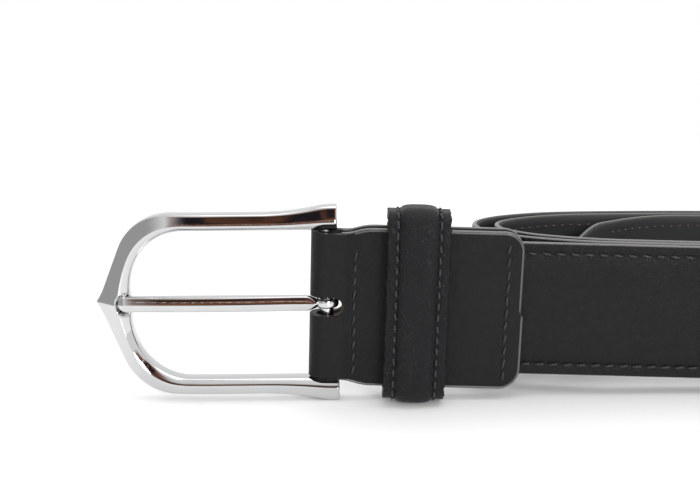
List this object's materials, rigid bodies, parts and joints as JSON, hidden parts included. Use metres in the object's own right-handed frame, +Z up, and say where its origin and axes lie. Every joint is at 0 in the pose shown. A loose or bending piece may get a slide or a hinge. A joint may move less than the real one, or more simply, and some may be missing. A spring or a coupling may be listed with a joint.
{
  "type": "leather belt",
  "caption": "Rolled leather dress belt standing on edge, with a pointed-arch prong buckle turning on its bar, a folded chape and a sliding padded keeper loop.",
  "frame": {"origin": "on the surface the belt stands on, under the middle of its bounding box", "axes": "+X from the buckle's point towards the far end of the roll, +Y from the strap's face to the back of the roll, +Z up, across the strap's width"},
  "size_m": [0.2507, 0.05, 0.0482],
  "materials": {
    "polished_metal": "mirror polished",
    "grain_leather": "semi-matt fine grain",
    "lining_leather": "matt",
    "leather_board": "matt, painted at the edges",
    "staple_wire": "bright"
  },
  "bodies": {
    "strap": {"chape_outer": "grain_leather", "chape_lining": "lining_leather", "strap_top": "grain_leather", "strap_core": "leather_board", "strap_lining": "lining_leather"},
    "frame": {"buckle_frame": "polished_metal", "buckle_bar": "polished_metal"},
    "tongue": {"prong": "polished_metal"},
    "keeper": {"keeper_cover": "grain_leather", "keeper_pad": "leather_board", "keeper_lining": "lining_leather", "keeper_staples": "staple_wire"}
  },
  "joints": [
    {"name": "frame_pivot", "type": "hinge", "parent": "strap", "child": "frame", "pos_m": [-0.07089, -0.01671, 0.0235], "axis": [0, 0, 1], "range_deg": [-60, 15]},
    {"name": "prong_pivot", "type": "hinge", "parent": "frame", "child": "tongue", "pos_m": [-0.07089, -0.01671, 0.0235], "axis": [0, 0, 1], "range_deg": [0, 70]},
    {"name": "keeper_slide", "type": "slide", "parent": "strap", "child": "keeper", "axis": [0.9993, 0, -0.0383], "range_m": [-0.005, 0.009]}
  ]
}
